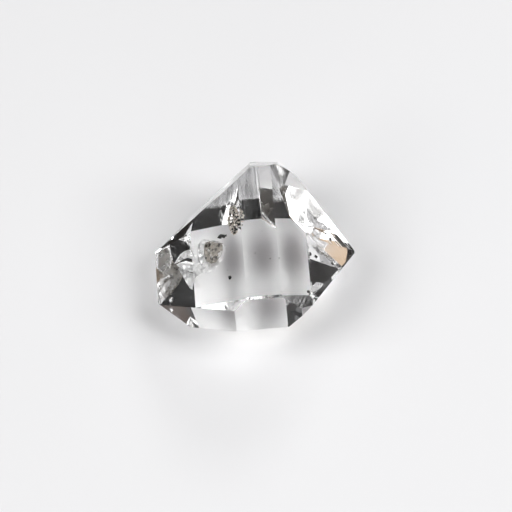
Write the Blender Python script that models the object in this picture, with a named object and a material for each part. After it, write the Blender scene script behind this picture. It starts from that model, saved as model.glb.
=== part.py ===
import math

import bmesh
import bpy
from mathutils import Matrix, Vector

# A doubly terminated quartz crystal, lying on one of its six long side faces.
# Metres, +Z up. The long axis runs along X, the origin is on the ground under the crystal's middle.

mm = 0.001

# Each row of faces is turned about the long axis, counted from the row that looks straight up
rowTurn = {"top": 0, "frontUpper": 60, "frontLower": 120, "base": 180, "backLower": 240, "backUpper": 300}

# The mineral fixes the angle between the long axis and the outward direction of every end face
endFaceLean = math.radians(51.79)

# How far each face lies from the middle: six side faces and two ends of six faces
sideFaces = {
    "top": 8.32 * mm,
    "frontUpper": 12.78 * mm,
    "frontLower": 9.20 * mm,
    "base": 8.31 * mm,
    "backLower": 9.35 * mm,
    "backUpper": 12.64 * mm,
}
rightEndFaces = {
    "top": 8.70 * mm,
    "frontUpper": 13.79 * mm,
    "frontLower": 9.77 * mm,
    "base": 8.92 * mm,
    "backLower": 8.24 * mm,
    "backUpper": 12.69 * mm,
}
leftEndFaces = {
    "top": 7.34 * mm,
    "frontUpper": 12.00 * mm,
    "frontLower": 13.30 * mm,
    "base": 10.28 * mm,
    "backLower": 10.98 * mm,
    "backUpper": 9.55 * mm,
}
roughBlockSize = 60 * mm

# Growth steps on the back right end face, along its edge with the end face under it.
# Each is start and end along the edge, width up the face, depth, slant of the ends, and turn on the face.
growthSteps = [
    (2.0 * mm, 12.4 * mm, 2.10 * mm, 0.05 * mm, 0.60, math.radians(1.5)),
    (3.4 * mm, 10.9 * mm, 1.45 * mm, 0.12 * mm, 1.05, math.radians(-2.5)),
    (4.3 * mm, 7.6 * mm, 0.85 * mm, 0.21 * mm, 0.40, math.radians(3.0)),
    (8.6 * mm, 10.1 * mm, 0.60 * mm, 0.18 * mm, 0.90, math.radians(-4.0)),
]

# A narrow step along the lower right rim of the front, on the underside
rimStep = (1.5 * mm, 9.5 * mm, 0.70 * mm, 0.10 * mm, 0.45, math.radians(0.5))

# Small three-sided etch pits low on the back right end face: along the edge, up the face, radius, depth
etchPits = [
    (-0.90 * mm, 1.60 * mm, 0.22 * mm, 0.07 * mm),
    (-1.75 * mm, 3.30 * mm, 0.28 * mm, 0.09 * mm),
    (-1.05 * mm, 5.40 * mm, 0.20 * mm, 0.06 * mm),
]

# One small chip at the front right corner of the resting face, and one pit low on the left end
cornerChipRadius = 0.42 * mm
leftPitAt = Vector((-11.4, -4.9, 4.2)) * mm
leftPitRadius = 0.38 * mm


def sideDirection(row):
    turn = math.radians(rowTurn[row])
    return Vector((0, -math.sin(turn), math.cos(turn)))


def endDirection(row, side):
    around = sideDirection(row) * math.sin(endFaceLean)
    return Vector((side * math.cos(endFaceLean), around.y, around.z))


# Outward direction and distance from the middle of all eighteen faces.
def allFaces():
    faces = [(sideDirection(row), distance) for row, distance in sideFaces.items()]
    faces += [(endDirection(row, 1), distance) for row, distance in rightEndFaces.items()]
    faces += [(endDirection(row, -1), distance) for row, distance in leftEndFaces.items()]
    return faces


# The corner where three faces meet, each given as direction and distance.
def meetingPoint(first, second, third):
    rows = Matrix([first[0], second[0], third[0]])
    return rows.inverted() @ Vector((first[1], second[1], third[1]))


# Slice everything beyond one crystal face off the block and close the cut.
def cutToFace(crystal, direction, distance):
    geometry = crystal.verts[:] + crystal.edges[:] + crystal.faces[:]
    cut = bmesh.ops.bisect_plane(
        crystal, geom=geometry, dist=1e-8, plane_co=direction * distance, plane_no=direction, clear_outer=True
    )
    rim = [item for item in cut["geom_cut"] if isinstance(item, bmesh.types.BMEdge)]
    bmesh.ops.holes_fill(crystal, edges=rim, sides=0)


# The step from the crystal's middle to the point on the ground below it.
def middleToGround(crystal):
    xs = [corner.co.x for corner in crystal.verts]
    ys = [corner.co.y for corner in crystal.verts]
    zs = [corner.co.z for corner in crystal.verts]
    return Vector((-(min(xs) + max(xs)) / 2, -(min(ys) + max(ys)) / 2, -min(zs)))


def newObject(name, mesh, collection):
    made = bpy.data.objects.new(name, mesh)
    collection.objects.link(made)
    return made


def buildCrystal(collection):
    crystal = bmesh.new()
    bmesh.ops.create_cube(crystal, size=roughBlockSize)
    for direction, distance in allFaces():
        cutToFace(crystal, direction, distance)
    bmesh.ops.recalc_face_normals(crystal, faces=crystal.faces)
    lift = middleToGround(crystal)
    bmesh.ops.translate(crystal, verts=crystal.verts, vec=lift)
    mesh = bpy.data.meshes.new("crystal")
    crystal.to_mesh(mesh)
    crystal.free()
    return newObject("crystal", mesh, collection), lift


# Axes on a face: x along its edge with the neighbour, y away from that edge, z outward.
def edgeFrame(face, neighbour, start, lift):
    outward = face[0]
    along = outward.cross(neighbour[0]).normalized()
    if along.x < 0:
        along = -along
    up = outward.cross(along).normalized()
    if up.dot(neighbour[0]) > 0:
        up = -up
    frame = Matrix.Identity(4)
    for column, axis in enumerate((along, up, outward)):
        frame.col[column].xyz = axis
    frame.translation = start + lift
    return frame


# Turn a finished shape into a hidden cutter and take it away from the crystal.
def addCutter(crystal, name, shape, collection):
    bmesh.ops.recalc_face_normals(shape, faces=shape.faces)
    mesh = bpy.data.meshes.new(name)
    shape.to_mesh(mesh)
    shape.free()
    cutter = newObject(name, mesh, collection)
    cutter.hide_render = True
    cutter.display_type = "WIRE"
    removal = crystal.modifiers.new(name, "BOOLEAN")
    removal.operation = "DIFFERENCE"
    removal.object = cutter


# A flat ledge: the face is lowered in a strip along the edge, with slanted ends.
def cutStep(crystal, name, frame, step, collection):
    start, end, width, depth, endSlant, turn = step
    above = 2 * mm
    shape = bmesh.new()
    bmesh.ops.create_cube(shape, size=1)
    size = Matrix.Diagonal((end - start, width + above, depth + above, 1))
    slant = Matrix.Identity(4)
    slant[0][1] = -endSlant
    middle = Matrix.Translation(((start + end) / 2, (width - above) / 2, (above - depth) / 2))
    turned = middle @ Matrix.Rotation(turn, 4, "Z") @ slant
    bmesh.ops.transform(shape, matrix=frame @ turned @ size, verts=shape.verts)
    addCutter(crystal, name, shape, collection)


# Shallow three-sided pits with their points inward.
def cutPits(crystal, name, frame, pits, collection):
    shape = bmesh.new()
    for along, up, radius, depth in pits:
        place = frame @ Matrix.Translation((along, up, 0))
        bmesh.ops.create_cone(
            shape, cap_ends=True, segments=3, radius1=0, radius2=2 * radius, depth=2 * depth, matrix=place
        )
    addCutter(crystal, name, shape, collection)


def cutBall(crystal, name, centre, radius, collection):
    shape = bmesh.new()
    bmesh.ops.create_icosphere(shape, subdivisions=2, radius=radius, matrix=Matrix.Translation(centre))
    addCutter(crystal, name, shape, collection)


def clearQuartz():
    material = bpy.data.materials.new("clearQuartz")
    material.use_nodes = True
    shader = material.node_tree.nodes["Principled BSDF"]
    shader.inputs["Base Color"].default_value = (0.97, 0.98, 0.98, 1)
    shader.inputs["Roughness"].default_value = 0.02
    shader.inputs["Metallic"].default_value = 0
    shader.inputs["IOR"].default_value = 1.544
    shader.inputs["Transmission Weight"].default_value = 1
    return material


def main():
    for item in list(bpy.data.objects):
        bpy.data.objects.remove(item)
    parts = bpy.data.collections.new("herkimer_diamond")
    cutters = bpy.data.collections.new("cutters")
    bpy.context.scene.collection.children.link(parts)
    bpy.context.scene.collection.children.link(cutters)
    crystal, lift = buildCrystal(parts)

    base = (sideDirection("base"), sideFaces["base"])
    front = (sideDirection("frontLower"), sideFaces["frontLower"])
    backEnd = (endDirection("backLower", 1), rightEndFaces["backLower"])
    baseEnd = (endDirection("base", 1), rightEndFaces["base"])
    frontEnd = (endDirection("frontLower", 1), rightEndFaces["frontLower"])

    lowBackCorner = meetingPoint(base, backEnd, baseEnd)
    backFrame = edgeFrame(backEnd, baseEnd, lowBackCorner, lift)
    for number, step in enumerate(growthSteps, 1):
        cutStep(crystal, f"growthStep{number}", backFrame, step, cutters)
    cutPits(crystal, "etchPits", backFrame, etchPits, cutters)

    lowFrontCorner = meetingPoint(base, front, baseEnd)
    rimCorner = meetingPoint(front, baseEnd, frontEnd)
    rimFrame = edgeFrame(baseEnd, frontEnd, rimCorner, lift)
    cutStep(crystal, "rimStep", rimFrame, rimStep, cutters)

    cutBall(crystal, "cornerChip", lowFrontCorner + lift, cornerChipRadius, cutters)
    cutBall(crystal, "leftPit", leftPitAt, leftPitRadius, cutters)
    crystal.data.materials.append(clearQuartz())


main()
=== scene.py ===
import math
import bmesh
import bpy
from mathutils import Euler, Matrix, Vector, noise


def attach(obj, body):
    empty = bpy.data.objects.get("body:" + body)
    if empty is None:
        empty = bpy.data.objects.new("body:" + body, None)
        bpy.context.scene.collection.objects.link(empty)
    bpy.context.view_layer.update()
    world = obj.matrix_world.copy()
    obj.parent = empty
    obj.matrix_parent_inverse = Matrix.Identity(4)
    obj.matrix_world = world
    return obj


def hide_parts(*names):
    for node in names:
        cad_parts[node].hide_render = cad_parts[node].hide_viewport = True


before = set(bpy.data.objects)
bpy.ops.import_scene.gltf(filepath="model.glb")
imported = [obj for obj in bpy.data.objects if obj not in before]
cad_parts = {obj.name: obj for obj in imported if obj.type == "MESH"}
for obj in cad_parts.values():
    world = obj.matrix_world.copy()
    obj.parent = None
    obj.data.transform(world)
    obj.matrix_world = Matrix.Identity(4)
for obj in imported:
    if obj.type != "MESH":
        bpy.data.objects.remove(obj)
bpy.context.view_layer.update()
mm = 0.001
print("frame loaded")

scene = bpy.context.scene
scene.view_settings.view_transform = "Standard"
scene.cycles.max_bounces = 24
scene.cycles.transmission_bounces = 20
scene.cycles.glossy_bounces = 12
scene.cycles.diffuse_bounces = 3
scene.cycles.transparent_max_bounces = 16
scene.cycles.caustics_refractive = True
scene.cycles.caustics_reflective = True
scene.cycles.blur_glossy = 0.3
scene.cycles.sample_clamp_indirect = 14
scene.cycles.use_denoising = True


def addNode(tree, kind, **values):
    node = tree.nodes.new(kind)
    for name, value in values.items():
        setattr(node, name, value)
    return node


def newMaterial(name):
    material = bpy.data.materials.new(name)
    material.use_nodes = True
    return material, material.node_tree, material.node_tree.nodes["Principled BSDF"]


# The camera looks down on the crystal from a little in front, as in the photograph
camera = {
    "eye": Vector((6.04, -96.87, 258.99)) * mm,
    "turn": Euler((math.radians(20.865), math.radians(3.03), math.radians(-4.463))),
    "lens": 132.7,
    "sensor": 36,
    "nearClip": 0.01,
}


def addCamera():
    data = bpy.data.cameras.new("camera")
    data.lens = camera["lens"]
    data.sensor_width = camera["sensor"]
    data.clip_start = camera["nearClip"]
    made = bpy.data.objects.new("camera", data)
    made.location = camera["eye"]
    made.rotation_euler = camera["turn"]
    scene.collection.objects.link(made)
    scene.camera = made


addCamera()
print("camera placed")


# Soft panels round the crystal: the direction each stands in, its size in metres, brightness and tone
white = (1, 1, 1)
rust = (1, 0.45, 0.22)
amber = (1, 0.76, 0.55)
lights = {
    "leftPanel": {"azimuth": -168, "elevation": 56, "size": (0.27, 0.46), "glow": 6.4, "tone": white},
    "rightPanel": {"azimuth": -16, "elevation": 50, "size": (0.20, 0.50), "glow": 10.2, "tone": white},
    "backPanel": {"azimuth": 62, "elevation": 40, "size": (0.34, 0.20), "glow": 4.6, "tone": white},
    "backEdgePanel": {"azimuth": 99, "elevation": 50, "size": (0.093, 0.08), "glow": 1.0, "tone": white},
    "frontPanel": {"azimuth": -96, "elevation": 6, "size": (0.60, 0.20), "glow": 3.4, "tone": white},
    "frontRightPanel": {"azimuth": -62, "elevation": 38, "size": (0.24, 0.20), "glow": 1.3, "tone": white},
    "leftLowPanel": {"azimuth": -150, "elevation": 31, "size": (0.24, 0.13), "glow": 4.6, "tone": white},
    "dimRightPanel": {"azimuth": 24, "elevation": 9, "size": (0.22, 0.14), "glow": 0.035, "tone": rust},
    "warmLowPanel": {"azimuth": -160, "elevation": 19, "size": (0.40, 0.17), "glow": 0.75, "tone": amber},
}
panelDistance = 0.7

# The dim room beyond the panels, a little warm low down and darker higher up
room = {"low": (0.032, 0.027, 0.024, 1), "high": (0.012, 0.012, 0.012, 1), "from": 0.1, "to": 0.55}


def standingDirection(azimuth, elevation):
    turn = math.radians(azimuth)
    rise = math.radians(elevation)
    return Vector((math.cos(turn) * math.cos(rise), math.sin(turn) * math.cos(rise), math.sin(rise)))


def addLights():
    for name, panel in lights.items():
        data = bpy.data.lights.new(name, "AREA")
        data.shape = "RECTANGLE"
        data.size, data.size_y = panel["size"]
        data.energy = panel["glow"] * math.pi * data.size * data.size_y
        data.color = panel["tone"]
        made = bpy.data.objects.new(name, data)
        way = standingDirection(panel["azimuth"], panel["elevation"])
        made.location = way * panelDistance
        made.rotation_euler = way.to_track_quat("Z", "Y").to_euler()
        scene.collection.objects.link(made)


def addRoom():
    world = bpy.data.worlds.new("room")
    scene.world = world
    world.use_nodes = True
    tree = world.node_tree
    background = tree.nodes["Background"]
    where = addNode(tree, "ShaderNodeTexCoord")
    split = addNode(tree, "ShaderNodeSeparateXYZ")
    fade = addNode(tree, "ShaderNodeMapRange")
    fade.inputs["From Min"].default_value = room["from"]
    fade.inputs["From Max"].default_value = room["to"]
    mix = addNode(tree, "ShaderNodeMix", data_type="RGBA")
    mix.inputs["A"].default_value = room["low"]
    mix.inputs["B"].default_value = room["high"]
    tree.links.new(where.outputs["Generated"], split.inputs[0])
    tree.links.new(split.outputs["Z"], fade.inputs["Value"])
    tree.links.new(fade.outputs["Result"], mix.inputs["Factor"])
    tree.links.new(mix.outputs["Result"], background.inputs["Color"])


addLights()
addRoom()
print("lights placed")


# The pale floor with painted shade: a greyer ellipse of painted shadow where the crystal touches it, a
# whiter ellipse of painted light round that, and the plain floor colour beyond
floor = {
    "reach": 3.0,
    "below": 0.25 * mm,
    "shade": (0.80, 0.80, 0.81, 1),
    "roughness": 0.6,
    "specular": 0.2,
    # Painted shadow: a greyer ellipse where the crystal touches the floor
    "paintedShadowAt": Vector((1.35, 0.75, 0)) * mm,
    "paintedShadowSize": Vector((3.7, 5.7, 1000)) * mm,
    "paintedShadowFrom": 0,
    "paintedShadowColour": (0.60, 0.58, 0.59, 1),
    # Painted light: a whiter ellipse under and round the crystal
    "paintedLightAt": Vector((0.5, -2.6, 0)) * mm,
    "paintedLightSize": Vector((12.5, 10.4, 1000)) * mm,
    "paintedLightFrom": 0.6,
    "paintedLightColour": (0.985, 0.98, 0.98, 1),
}


# 0 up to the start, a share of the way from an ellipse's middle to its rim, then rising to 1 at the rim
def ellipseFade(tree, middle, size, start):
    where = addNode(tree, "ShaderNodeTexCoord")
    moved = addNode(tree, "ShaderNodeVectorMath", operation="SUBTRACT")
    moved.inputs[1].default_value = middle
    scaled = addNode(tree, "ShaderNodeVectorMath", operation="DIVIDE")
    scaled.inputs[1].default_value = size
    away = addNode(tree, "ShaderNodeVectorMath", operation="LENGTH")
    fade = addNode(tree, "ShaderNodeMapRange", interpolation_type="SMOOTHERSTEP")
    fade.inputs["From Min"].default_value = start
    tree.links.new(where.outputs["Object"], moved.inputs[0])
    tree.links.new(moved.outputs["Vector"], scaled.inputs[0])
    tree.links.new(scaled.outputs["Vector"], away.inputs[0])
    tree.links.new(away.outputs["Value"], fade.inputs["Value"])
    return fade


def addFloor():
    bm = bmesh.new()
    bmesh.ops.create_grid(bm, x_segments=1, y_segments=1, size=floor["reach"])
    bmesh.ops.translate(bm, verts=bm.verts, vec=(0, 0, -floor["below"]))
    mesh = bpy.data.meshes.new("floor")
    bm.to_mesh(mesh)
    bm.free()
    made = bpy.data.objects.new("floor", mesh)
    scene.collection.objects.link(made)
    material, tree, shader = newMaterial("paleFloor")
    # Painted light: the floor is whiter in an ellipse round the crystal, fading to the plain floor colour
    outward = ellipseFade(tree, floor["paintedLightAt"], floor["paintedLightSize"], floor["paintedLightFrom"])
    wide = addNode(tree, "ShaderNodeMix", data_type="RGBA")
    wide.inputs["A"].default_value = floor["paintedLightColour"]
    wide.inputs["B"].default_value = floor["shade"]
    # Painted shadow: the floor is greyer in an ellipse where the crystal touches it
    contact = ellipseFade(tree, floor["paintedShadowAt"], floor["paintedShadowSize"], floor["paintedShadowFrom"])
    near = addNode(tree, "ShaderNodeMix", data_type="RGBA")
    near.inputs["A"].default_value = floor["paintedShadowColour"]
    tree.links.new(outward.outputs["Result"], wide.inputs["Factor"])
    tree.links.new(contact.outputs["Result"], near.inputs["Factor"])
    tree.links.new(wide.outputs["Result"], near.inputs["B"])
    tree.links.new(near.outputs["Result"], shader.inputs["Base Color"])
    shader.inputs["Roughness"].default_value = floor["roughness"]
    shader.inputs["Specular IOR Level"].default_value = floor["specular"]
    mesh.materials.append(material)


addFloor()
print("floor laid")


def addPiece(name, bm, material):
    bmesh.ops.recalc_face_normals(bm, faces=bm.faces)
    mesh = bpy.data.meshes.new(name)
    bm.to_mesh(mesh)
    bm.free()
    mesh.materials.append(material)
    made = bpy.data.objects.new(name, mesh)
    scene.collection.objects.link(made)
    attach(made, "root")


# The crystal's shape, its growth lines and its hairlines
quartz = {
    "refraction": 1.544,
    "weldGap": 0.001 * mm,
    "flatAngle": math.radians(0.5),
    "sharpAngle": math.radians(8),
    "edgeRound": 0.05 * mm,
    "sideTilt": 0.02,
    "leastSideArea": 1 * mm * mm,
    "underFrom": -0.8,
    "underTo": -0.2,
    "lineStretch": Vector((2600, 160, 160)),
    "lineDetail": 3,
    "lineHeight": 0.004 * mm,
    "dullLineHeight": 0.03 * mm,
    "dullRoughness": 0.03,
    "hairScale": 290,
    "hairDetail": 1,
    "hairMiddle": 0.5,
    "hairWidth": 0.006,
    "hairHeight": 0.0015 * mm,
    "hairGapScale": 240,
    "hairGapFrom": 0.50,
    "hairGapTo": 0.56,
}


# Hair-thin curved lines on the skin: narrow bands where one noise passes its middle, with gaps from another
def hairlineBump(tree, place):
    swirl = addNode(tree, "ShaderNodeTexNoise")
    swirl.inputs["Scale"].default_value = quartz["hairScale"]
    swirl.inputs["Detail"].default_value = quartz["hairDetail"]
    centred = addNode(tree, "ShaderNodeMath", operation="SUBTRACT")
    centred.inputs[1].default_value = quartz["hairMiddle"]
    size = addNode(tree, "ShaderNodeMath", operation="ABSOLUTE")
    band = addNode(tree, "ShaderNodeMapRange")
    band.inputs["From Max"].default_value = quartz["hairWidth"]
    band.inputs["To Min"].default_value = 1
    band.inputs["To Max"].default_value = 0
    gaps = addNode(tree, "ShaderNodeTexNoise")
    gaps.inputs["Scale"].default_value = quartz["hairGapScale"]
    gapMask = addNode(tree, "ShaderNodeMapRange")
    gapMask.inputs["From Min"].default_value = quartz["hairGapFrom"]
    gapMask.inputs["From Max"].default_value = quartz["hairGapTo"]
    kept = addNode(tree, "ShaderNodeMath", operation="MULTIPLY")
    bump = addNode(tree, "ShaderNodeBump")
    bump.inputs["Distance"].default_value = quartz["hairHeight"]
    tree.links.new(place, swirl.inputs["Vector"])
    tree.links.new(swirl.outputs["Fac"], centred.inputs[0])
    tree.links.new(centred.outputs["Value"], size.inputs[0])
    tree.links.new(size.outputs["Value"], band.inputs["Value"])
    tree.links.new(place, gaps.inputs["Vector"])
    tree.links.new(gaps.outputs["Fac"], gapMask.inputs["Value"])
    tree.links.new(band.outputs["Result"], kept.inputs[0])
    tree.links.new(gapMask.outputs["Result"], kept.inputs[1])
    tree.links.new(kept.outputs["Value"], bump.inputs["Height"])
    return bump


# Clear quartz with hairlines and, where they have a height, growth lines that run across its long axis
def quartzMaterial(name, lineHeight, roughness):
    material, tree, shader = newMaterial(name)
    shader.inputs["Base Color"].default_value = (1, 1, 1, 1)
    shader.inputs["Roughness"].default_value = roughness
    shader.inputs["IOR"].default_value = quartz["refraction"]
    shader.inputs["Transmission Weight"].default_value = 1
    where = addNode(tree, "ShaderNodeTexCoord")
    hairlines = hairlineBump(tree, where.outputs["Object"])
    tree.links.new(hairlines.outputs["Normal"], shader.inputs["Normal"])
    if lineHeight == 0:
        return material
    stretch = addNode(tree, "ShaderNodeVectorMath", operation="MULTIPLY")
    stretch.inputs[1].default_value = quartz["lineStretch"]
    lines = addNode(tree, "ShaderNodeTexNoise")
    lines.inputs["Scale"].default_value = 1
    lines.inputs["Detail"].default_value = quartz["lineDetail"]
    bump = addNode(tree, "ShaderNodeBump")
    bump.inputs["Distance"].default_value = lineHeight
    tree.links.new(where.outputs["Object"], stretch.inputs[0])
    tree.links.new(stretch.outputs["Vector"], lines.inputs["Vector"])
    tree.links.new(lines.outputs["Fac"], bump.inputs["Height"])
    tree.links.new(bump.outputs["Normal"], hairlines.inputs["Normal"])
    return material


# The CAD crystal with rounded edges: ends clear, long sides lined, and the two lower flanks dull as well
def buildCrystal():
    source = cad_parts["crystal"]
    bm = bmesh.new()
    bm.from_mesh(source.data)
    bmesh.ops.remove_doubles(bm, verts=bm.verts, dist=quartz["weldGap"])
    bmesh.ops.dissolve_limit(bm, angle_limit=quartz["flatAngle"], verts=bm.verts, edges=bm.edges)
    sharp = [edge for edge in bm.edges if edge.calc_face_angle(0) > quartz["sharpAngle"]]
    bmesh.ops.bevel(
        bm, geom=sharp, offset=quartz["edgeRound"], segments=2, profile=0.5, affect="EDGES",
        material=-1, clamp_overlap=True
    )
    bm.normal_update()
    clearSlot = 0
    linedSlot = 1
    dullSlot = 2
    for face in bm.faces:
        alongSide = abs(face.normal.x) < quartz["sideTilt"] and face.calc_area() > quartz["leastSideArea"]
        underFlank = quartz["underFrom"] < face.normal.z < quartz["underTo"]
        sideSlot = dullSlot if underFlank else linedSlot
        face.material_index = sideSlot if alongSide else clearSlot
    mesh = bpy.data.meshes.new("quartzCrystal")
    bm.to_mesh(mesh)
    bm.free()
    dullLined = quartzMaterial("dullLinedQuartz", quartz["dullLineHeight"], quartz["dullRoughness"])
    mesh.materials.append(quartzMaterial("clearQuartz", 0, 0))
    mesh.materials.append(quartzMaterial("linedQuartz", quartz["lineHeight"], 0))
    mesh.materials.append(dullLined)
    made = bpy.data.objects.new("quartzCrystal", mesh)
    scene.collection.objects.link(made)
    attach(made, "root")
    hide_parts("crystal")


buildCrystal()
print("crystal cut")


# How a round grain is made ragged: each corner swings by noise read at its own place
grainNoise = {"scale": 4000, "offset": Vector((7.3, 1.9, 4.2)), "gain": 2}


def raggedGrain(bm, centre, radius, raggedness):
    made = bmesh.ops.create_icosphere(bm, subdivisions=1, radius=radius, matrix=Matrix.Translation(centre))
    for corner in made["verts"]:
        swing = noise.noise(corner.co * grainNoise["scale"] + grainNoise["offset"])
        corner.co += (corner.co - centre) * raggedness * grainNoise["gain"] * swing


# A grain's skin, mottled between a dark and a pale shade
def mottledMaterial(name, values):
    material, tree, shader = newMaterial(name)
    where = addNode(tree, "ShaderNodeTexCoord")
    mottle = addNode(tree, "ShaderNodeTexNoise")
    mottle.inputs["Scale"].default_value = values["mottleScale"]
    ramp = addNode(tree, "ShaderNodeValToRGB")
    ramp.color_ramp.elements[0].position = values["darkAt"]
    ramp.color_ramp.elements[0].color = values["dark"]
    ramp.color_ramp.elements[1].position = values["paleAt"]
    ramp.color_ramp.elements[1].color = values["pale"]
    tree.links.new(where.outputs["Object"], mottle.inputs["Vector"])
    tree.links.new(mottle.outputs["Fac"], ramp.inputs["Fac"])
    tree.links.new(ramp.outputs["Color"], shader.inputs["Base Color"])
    shader.inputs["Roughness"].default_value = values["roughness"]
    return material


# Black carbon grains sealed in the quartz: place and radius in millimetres
carbon = {
    "grains": [
        ((-4.12, 0.87, 13.28), 0.35), ((-3.66, 0.79, 13.58), 0.38), ((-3.27, 0.72, 13.80), 0.17),
        ((-4.39, -0.26, 13.10), 0.28), ((-3.18, -5.58, 13.88), 0.31), ((3.72, -5.55, 0.95), 0.27),
        ((10.68, 0.41, 9.70), 0.32), ((10.09, 1.12, 10.10), 0.19), ((0.66, 9.1, 15.2), 0.13),
        ((1.15, 9.1, 15.2), 0.12), ((-4.55, 0.95, 11.1), 0.10), ((11.3, 0.3, 8.9), 0.10),
        ((6.9, -0.6, 11.0), 0.06), ((0.3, -2.2, 12.4), 0.06), ((2.3, -3.1, 12.0), 0.06),
        ((1.5, 0.9, 12.8), 0.05), ((-2.9, -3.9, 11.8), 0.06), ((-9.0, -6.2, 9.2), 0.06),
    ],
    "raggedness": 0.35,
    "mottleScale": 5000,
    "darkAt": 0,
    "dark": (0.006, 0.006, 0.006, 1),
    "paleAt": 1,
    "pale": (0.03, 0.028, 0.027, 1),
    "roughness": 0.4,
}


def buildCarbon():
    bm = bmesh.new()
    for place, radius in carbon["grains"]:
        raggedGrain(bm, Vector(place) * mm, radius * mm, carbon["raggedness"])
    addPiece("carbonGrains", bm, mottledMaterial("carbonBlack", carbon))


buildCarbon()
print("carbon grains set")


# How finely every sheet is divided, and the noise that makes it uneven
sheetGrain = {"divisions": 3, "increment": 0.8, "lacunarity": 2.2, "octaves": 4}


# A sheet inside the quartz: an outline in millimetres, filled, divided, bulged, made uneven and thick
def unevenSheet(values):
    bm = bmesh.new()
    corners = [bm.verts.new(Vector(place) * mm) for place in values["outline"]]
    rim = [bm.edges.new((corners[i - 1], corners[i])) for i in range(len(corners))]
    bmesh.ops.triangle_fill(bm, use_beauty=True, use_dissolve=False, edges=rim)
    for division in range(sheetGrain["divisions"]):
        bmesh.ops.subdivide_edges(bm, edges=bm.edges, cuts=1, use_grid_fill=True)
    bm.normal_update()
    facing = sum((face.normal for face in bm.faces), Vector()).normalized()
    if facing.z < 0:
        facing = -facing
    middle = sum((corner.co for corner in bm.verts), Vector()) / len(bm.verts)
    widest = max((corner.co - middle).length for corner in bm.verts)
    for corner in bm.verts:
        place = corner.co / values["waviness"]
        wave = noise.fractal(place, sheetGrain["increment"], sheetGrain["lacunarity"], sheetGrain["octaves"])
        height = values["swing"] * wave
        height += values["bulge"] * (1 - ((corner.co - middle).length / widest) ** 2)
        corner.co += facing * height
    sheet = bmesh.ops.extrude_face_region(bm, geom=bm.faces[:])
    lifted = [item for item in sheet["geom"] if isinstance(item, bmesh.types.BMVert)]
    bmesh.ops.translate(bm, verts=lifted, vec=facing * values["thickness"])
    return bm


# What every film shares: the detail of both noises, where its two shades lie, and its refraction
filmGrain = {"patchDetail": 5, "fineDetail": 6, "darkAt": 0.36, "lightAt": 0.50, "refraction": 1.2}


# The look of a crack or a haze: a patchy cover, an uneven shade and a fine bump
def filmMaterial(name, values):
    material, tree, shader = newMaterial(name)
    where = addNode(tree, "ShaderNodeTexCoord")
    stretch = addNode(tree, "ShaderNodeVectorMath", operation="MULTIPLY")
    stretch.inputs[1].default_value = values["stretch"]
    patches = addNode(tree, "ShaderNodeTexNoise")
    patches.inputs["Scale"].default_value = values["patchScale"]
    patches.inputs["Detail"].default_value = filmGrain["patchDetail"]
    cover = addNode(tree, "ShaderNodeMapRange")
    cover.inputs["From Min"].default_value = values["patchFrom"]
    cover.inputs["From Max"].default_value = values["patchTo"]
    cover.inputs["To Min"].default_value = values["coverLow"]
    cover.inputs["To Max"].default_value = values["coverHigh"]
    ramp = addNode(tree, "ShaderNodeValToRGB")
    ramp.color_ramp.elements[0].position = filmGrain["darkAt"]
    ramp.color_ramp.elements[0].color = values["dark"]
    ramp.color_ramp.elements[1].position = filmGrain["lightAt"]
    ramp.color_ramp.elements[1].color = values["light"]
    fine = addNode(tree, "ShaderNodeTexNoise")
    fine.inputs["Scale"].default_value = values["fineScale"]
    fine.inputs["Detail"].default_value = filmGrain["fineDetail"]
    bump = addNode(tree, "ShaderNodeBump")
    bump.inputs["Distance"].default_value = values["bumpHeight"]
    tree.links.new(where.outputs["Object"], stretch.inputs[0])
    tree.links.new(stretch.outputs["Vector"], patches.inputs["Vector"])
    tree.links.new(stretch.outputs["Vector"], fine.inputs["Vector"])
    tree.links.new(patches.outputs["Fac"], cover.inputs["Value"])
    tree.links.new(cover.outputs["Result"], shader.inputs["Alpha"])
    tree.links.new(fine.outputs["Fac"], ramp.inputs["Fac"])
    tree.links.new(ramp.outputs["Color"], shader.inputs["Base Color"])
    tree.links.new(fine.outputs["Fac"], bump.inputs["Height"])
    tree.links.new(bump.outputs["Normal"], shader.inputs["Normal"])
    shader.inputs["Metallic"].default_value = values["metallic"]
    shader.inputs["Transmission Weight"].default_value = values["clear"]
    shader.inputs["IOR"].default_value = filmGrain["refraction"]
    shader.inputs["Roughness"].default_value = values["roughness"]
    return material


# What a sheet has unless its own dictionary says otherwise
plainSheet = {"bulge": 0, "thickness": 0.02 * mm, "stretch": Vector((1, 1, 1))}

# The bowl-shaped crack at the left
bowlCrack = {
    **plainSheet,
    "outline": [
        (-7.09, 1.56, 10.03), (-6.41, 1.82, 10.30), (-5.13, 1.31, 10.75), (-4.01, 0.86, 11.11),
        (-2.92, 0.13, 11.41), (-2.92, -0.92, 11.39), (-3.49, -1.82, 11.21), (-4.12, -2.56, 11.00),
        (-4.99, -3.16, 10.71), (-5.99, -3.34, 10.36), (-7.11, -3.04, 9.94), (-7.86, -3.35, 9.63),
        (-8.30, -3.83, 9.43), (-8.58, -3.00, 9.35), (-8.17, -2.06, 9.52), (-7.63, -1.31, 9.76),
        (-7.38, -0.17, 9.88), (-7.39, 0.89, 9.90),
    ],
    "bulge": -0.4 * mm, "swing": 0.35 * mm, "waviness": 2.6 * mm,
    "patchScale": 520, "patchFrom": 0.36, "patchTo": 0.52, "coverLow": 0.25, "coverHigh": 0.9,
    "dark": (0.85, 0.85, 0.85, 1), "light": (1, 1, 1, 1), "fineScale": 500, "bumpHeight": 0.05 * mm,
    "metallic": 0.75, "clear": 0.1, "roughness": 0.36,
}

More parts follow.
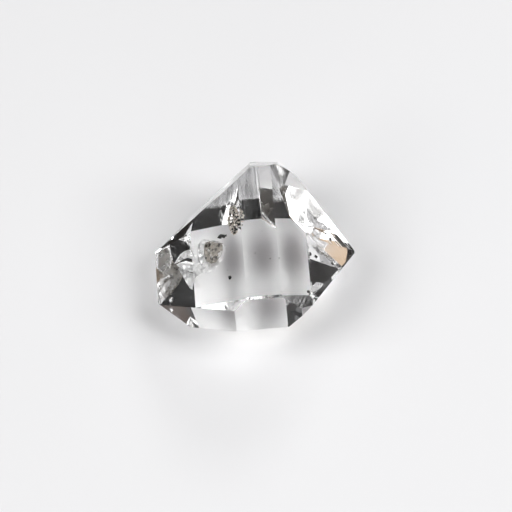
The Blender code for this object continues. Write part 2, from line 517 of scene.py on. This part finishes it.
# The silvery films of its feathery points and of the bright flecks beside it
silver = {
    **plainSheet,
    "swing": 0.22 * mm, "waviness": 1.1 * mm,
    "patchScale": 900, "patchFrom": 0.32, "patchTo": 0.42, "coverLow": 0.35, "coverHigh": 1.0,
    "dark": (0.55, 0.55, 0.55, 1), "light": (1, 1, 1, 1), "fineScale": 700, "bumpHeight": 0.03 * mm,
    "metallic": 0.8, "clear": 0.1, "roughness": 0.28,
}
featherWing = {
    **silver,
    "outline": [
        (-11.30, -0.58, 8.34), (-10.86, -0.04, 8.57), (-10.24, 0.47, 8.84), (-9.47, 0.78, 9.15),
        (-8.72, 0.78, 9.39), (-8.17, 0.28, 9.56), (-7.74, -0.60, 9.71), (-7.46, -1.35, 9.80),
        (-8.24, -0.76, 9.51), (-9.06, -0.39, 9.27), (-9.89, -0.40, 8.98), (-10.65, -0.63, 8.65),
    ],
    "bulge": 0.5 * mm,
}
featherFold = {
    **silver,
    "outline": [
        (-11.11, -0.71, 8.24), (-10.35, -0.58, 8.55), (-9.35, -0.61, 8.88), (-8.52, -0.96, 9.08),
        (-7.73, -1.55, 9.33), (-6.78, -2.10, 9.64), (-6.49, -2.70, 9.72), (-7.49, -2.82, 9.39),
        (-8.47, -2.49, 9.07), (-9.45, -2.03, 8.83), (-10.41, -1.40, 8.52),
    ],
    "bulge": -0.15 * mm, "swing": 0.12 * mm,
}
featherTail = {
    **silver,
    "outline": [
        (-10.85, -1.24, 8.49), (-9.98, -1.86, 8.83), (-9.02, -2.49, 9.14), (-8.14, -3.01, 9.39),
        (-8.02, -3.72, 9.42), (-8.40, -4.37, 9.27), (-8.64, -5.21, 9.20), (-9.03, -4.89, 9.10),
        (-9.48, -4.11, 8.98), (-10.06, -2.90, 8.79), (-10.49, -2.02, 8.63),
    ],
    "bulge": 0.5 * mm,
}
brightFleck = {
    **silver,
    "outline": [
        (-7.33, 1.25, 10.18), (-6.84, 1.26, 10.39), (-6.47, 0.70, 10.53), (-6.46, -0.21, 10.51),
        (-6.62, -1.22, 10.43), (-6.99, -1.87, 10.27), (-7.27, -1.19, 10.17), (-7.34, 0.04, 10.16),
    ],
    "bulge": 0.1 * mm, "swing": 0.1 * mm,
}

# The rough dark-flecked patch over the bowl, and a glint along the bowl's rim
roughPatch = {
    **plainSheet,
    "outline": [
        (-6.18, 1.09, 10.58), (-5.36, 1.16, 10.89), (-4.25, 0.63, 11.26), (-3.28, 0.30, 11.55),
        (-3.19, -0.62, 11.55), (-3.76, -1.52, 11.36), (-4.63, -2.19, 11.07), (-5.45, -2.20, 10.78),
        (-6.22, -1.61, 10.51), (-6.47, -0.49, 10.44), (-6.48, 0.42, 10.45),
    ],
    "swing": 0.4 * mm, "waviness": 0.8 * mm,
    "patchScale": 1300, "patchFrom": 0.36, "patchTo": 0.52, "coverLow": 0.15, "coverHigh": 0.95,
    "dark": (0.05, 0.04, 0.035, 1), "light": (0.72, 0.68, 0.62, 1),
    "fineScale": 1700, "bumpHeight": 0.14 * mm, "metallic": 0.45, "clear": 0.2, "roughness": 0.22,
}
rimGlint = {
    **silver,
    "outline": [
        (-3.45, 0.28, 11.68), (-3.11, -0.37, 11.79), (-3.10, -1.13, 11.80), (-3.46, -1.76, 11.66),
        (-3.95, -2.19, 11.48), (-3.74, -1.51, 11.56), (-3.46, -0.85, 11.66), (-3.41, -0.26, 11.68),
    ],
    "swing": 0.03 * mm,
}

# Cloudy skin close under the left end face
leftHaze = {
    **plainSheet,
    "outline": [
        (-13.70, 1.55, 6.60), (-13.43, 2.18, 6.97), (-12.30, 2.31, 7.70), (-11.88, 1.46, 7.98),
        (-11.87, 0.53, 7.99), (-11.22, -0.47, 8.41), (-10.37, -1.83, 8.96), (-10.12, -2.83, 9.12),
        (-10.98, -3.89, 8.56), (-11.99, -4.76, 7.91), (-13.14, -5.27, 7.16), (-13.75, -3.95, 6.55),
        (-13.85, -1.96, 6.50), (-13.80, 0.14, 6.55),
    ],
    "swing": 0.05 * mm, "waviness": 2.2 * mm,
    "patchScale": 420, "patchFrom": 0.38, "patchTo": 0.60, "coverLow": 0.28, "coverHigh": 0.62,
    "dark": (0.12, 0.11, 0.10, 1), "light": (0.42, 0.40, 0.37, 1),
    "fineScale": 900, "bumpHeight": 0.03 * mm, "metallic": 0, "clear": 0, "roughness": 0.5,
}

# A thin grey haze close inside the back flank that looks down, drawn out into streaks across the long axis
flankHaze = {
    **plainSheet,
    "outline": [
        (-5.70, 8.15, 4.20), (-5.65, 9.45, 6.45), (-4.40, 9.98, 7.40), (0.30, 12.15, 11.15),
        (1.30, 12.15, 11.15), (1.30, 8.15, 4.20), (-2.00, 8.15, 4.20),
    ],
    "swing": 0.02 * mm, "waviness": 2.0 * mm, "stretch": Vector((9, 1, 1)),
    "patchScale": 180, "patchFrom": 0.30, "patchTo": 0.70, "coverLow": 0.12, "coverHigh": 0.42,
    "dark": (0.34, 0.34, 0.35, 1), "light": (0.55, 0.55, 0.56, 1),
    "fineScale": 300, "bumpHeight": 0.01 * mm, "metallic": 0, "clear": 0, "roughness": 0.5,
}


def buildCracks():
    cracks = {
        "bowlCrack": bowlCrack,
        "featherWing": featherWing,
        "featherFold": featherFold,
        "featherTail": featherTail,
        "brightFleck": brightFleck,
        "roughPatch": roughPatch,
        "rimGlint": rimGlint,
        "leftHaze": leftHaze,
        "flankHaze": flankHaze,
    }
    for name, values in cracks.items():
        addPiece(name, unevenSheet(values), filmMaterial(name + "Film", values))


buildCracks()
print("cracks set")


# A knot of beige grains with black ones between them, just under the edge of the top face
seedKnot = {
    "from": Vector((-2.00, 4.70, 14.60)) * mm,
    "to": Vector((-2.00, 0.60, 14.40)) * mm,
    "spread": 1.2 * mm,
    "count": 250,
    "radius": 0.155 * mm,
    "darkEvery": 6,
    "darkLift": 0.35 * mm,
    "raggedness": 0.3,
    "turnStep": 2.39996,
    "flatten": 0.35,
    "lift": 0.6,
    "liftTurns": 1.7,
    "reachStep": 0.618,
    "reachLeast": 0.25,
    "reachMore": 0.75,
    "taperFrom": 0.12,
    "taperOver": 0.8,
    "sizeStep": 0.377,
    "sizeLeast": 0.55,
    "sizeMore": 0.8,
    "mottleScale": 2500,
    "darkAt": 0.38,
    "dark": (0.56, 0.48, 0.41, 1),
    "paleAt": 0.62,
    "pale": (0.95, 0.90, 0.83, 1),
    "roughness": 0.5,
}


# Where one grain of the knot lies: on a spiral round the line through the knot, narrow at both ends
def grainPlace(number, share):
    turn = number * seedKnot["turnStep"]
    outward = seedKnot["reachLeast"] + seedKnot["reachMore"] * (number * seedKnot["reachStep"] % 1)
    taper = math.sin(math.pi * (seedKnot["taperFrom"] + seedKnot["taperOver"] * share))
    reach = seedKnot["spread"] * outward * taper
    across = seedKnot["flatten"] * math.sin(turn)
    upward = seedKnot["lift"] * math.sin(turn * seedKnot["liftTurns"])
    centre = seedKnot["from"].lerp(seedKnot["to"], share)
    centre += Vector((math.cos(turn), across, upward)) * reach
    return centre


def buildSeedKnot():
    pale = bmesh.new()
    dark = bmesh.new()
    for number in range(seedKnot["count"]):
        share = (number + 0.5) / seedKnot["count"]
        centre = grainPlace(number, share)
        growth = seedKnot["sizeLeast"] + seedKnot["sizeMore"] * (number * seedKnot["sizeStep"] % 1)
        radius = seedKnot["radius"] * growth
        isDark = number % seedKnot["darkEvery"] == 0
        if isDark:
            centre.z += seedKnot["darkLift"]
        raggedGrain(dark if isDark else pale, centre, radius, seedKnot["raggedness"])
    addPiece("seedGrains", pale, mottledMaterial("paleSeed", seedKnot))
    addPiece("darkSeedGrains", dark, bpy.data.materials["carbonBlack"])


buildSeedKnot()
print("seed knot set")
